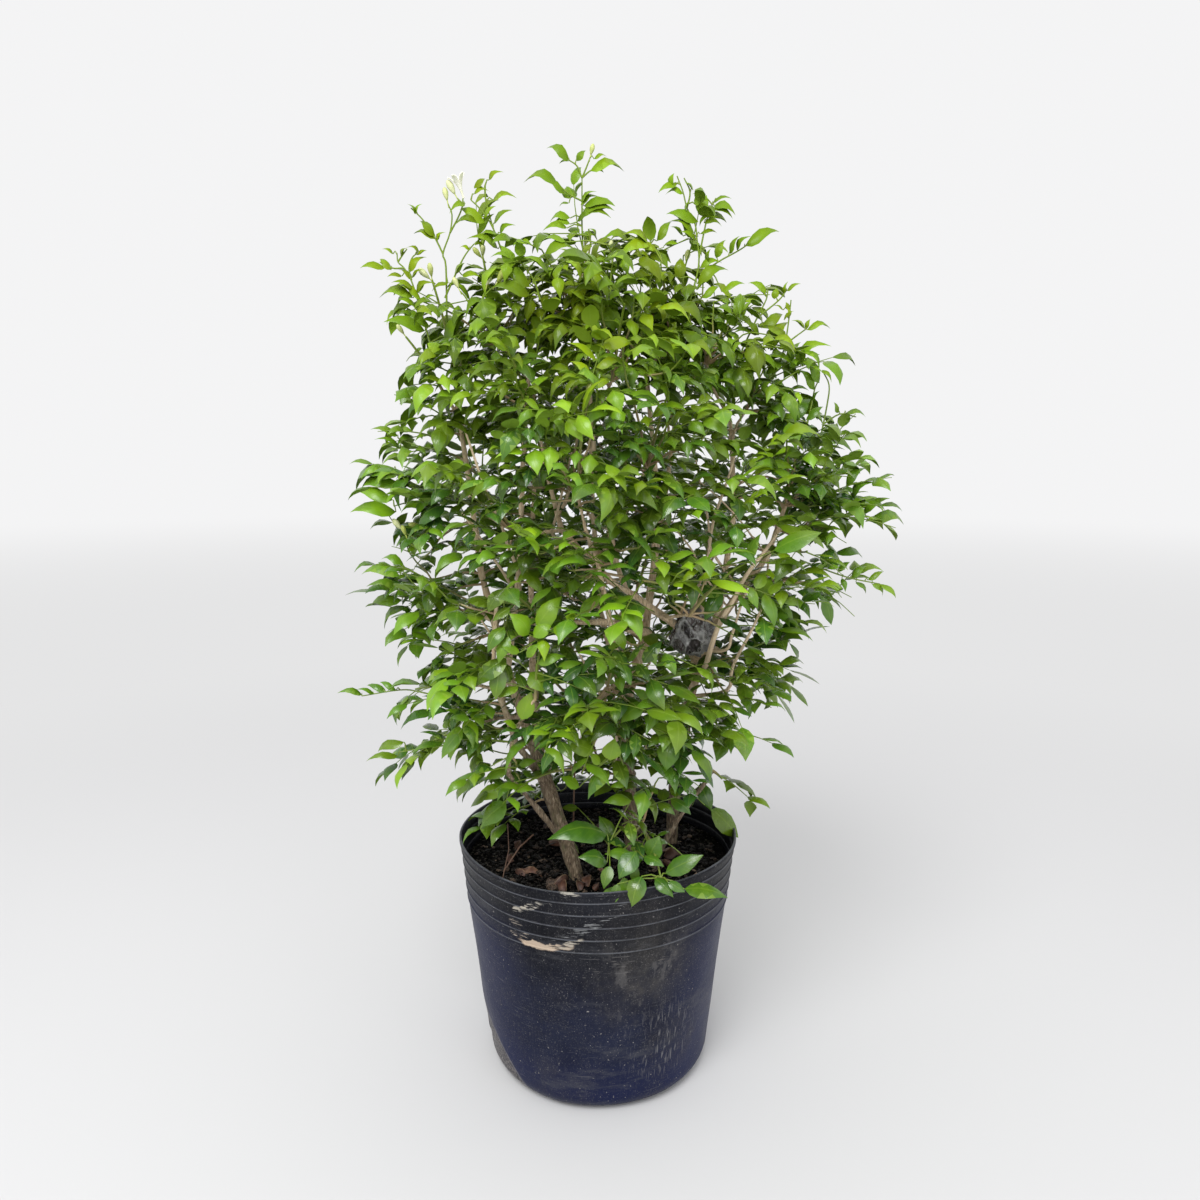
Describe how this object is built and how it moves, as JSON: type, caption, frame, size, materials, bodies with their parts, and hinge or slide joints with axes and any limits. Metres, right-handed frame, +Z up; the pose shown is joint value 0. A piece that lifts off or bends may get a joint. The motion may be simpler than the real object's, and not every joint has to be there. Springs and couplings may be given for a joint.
{
  "type": "potted orange jasmine shrub",
  "caption": "Leafy evergreen shrub with glossy pinnate leaves, buds and a white flower, growing on woody stems in a soft black nursery pot.",
  "frame": {"origin": "centre of the pot's flat underside", "axes": "+Z up the plant, -Y towards the side seen in the picture, +X to the right of it"},
  "size_m": [0.6778, 0.5717, 1.0949],
  "materials": {
    "pot_plastic": "soft black polythene with a navy cast, satin, dusty, with pale scuffs and fine scratches",
    "soil": "dark crumbly mix of coco peat and bark, matt, with brown chips and fallen leaves",
    "bark": "tan to grey-brown bark, fine lengthwise grain, mossy low down",
    "leaf": "glossy green leaf with a paler midrib and underside, lighter at the young tips",
    "leaf_young": "glossy lime green young leaf and bud",
    "wrap_plastic": "crumpled grey-black film, weathered, semi-gloss",
    "petal": "thin creamy white petal, soft sheen"
  },
  "bodies": {
    "root": {"bloom": "petal", "pot": "pot_plastic", "shoot_01": "leaf_young", "shoot_02": "leaf_young", "shoot_03": "leaf_young", "shoot_04": "leaf_young", "shoot_05": "leaf", "shoot_06": "leaf", "shoot_07": "leaf", "shoot_08": "leaf", "shoot_09": "leaf", "shoot_10": "leaf", "shoot_11": "leaf_young", "shoot_12": "leaf", "shoot_13": "leaf_young", "shoot_14": "leaf", "shoot_15": "leaf", "shoot_16": "leaf", "shoot_17": "leaf_young", "shoot_18": "leaf", "shoot_19": "leaf", "shoot_20": "leaf", "shoot_21": "leaf", "shoot_22": "leaf", "shoot_23": "leaf", "shoot_24": "leaf", "shoot_25": "leaf", "shoot_26": "leaf", "shoot_27": "leaf", "shoot_28": "leaf", "shoot_29": "leaf", "shoot_30": "leaf", "shoot_31": "leaf", "shoot_32": "leaf", "shoot_33": "leaf", "shoot_34": "leaf", "shoot_35": "leaf", "shoot_36": "leaf", "shoot_37": "leaf", "shoot_38": "leaf", "shoot_39": "leaf", "shoot_40": "leaf", "shoot_41": "leaf", "shoot_42": "leaf", "shoot_43": "leaf", "shoot_44": "leaf", "shoot_45": "leaf", "shoot_46": "leaf", "shoot_47": "leaf", "shoot_48": "leaf", "soil": "soil", "stem_centre": "bark", "stem_left": "bark", "stem_right": "bark", "stem_young": "bark", "wound_wrap": "wrap_plastic"}
  },
  "joints": []
}
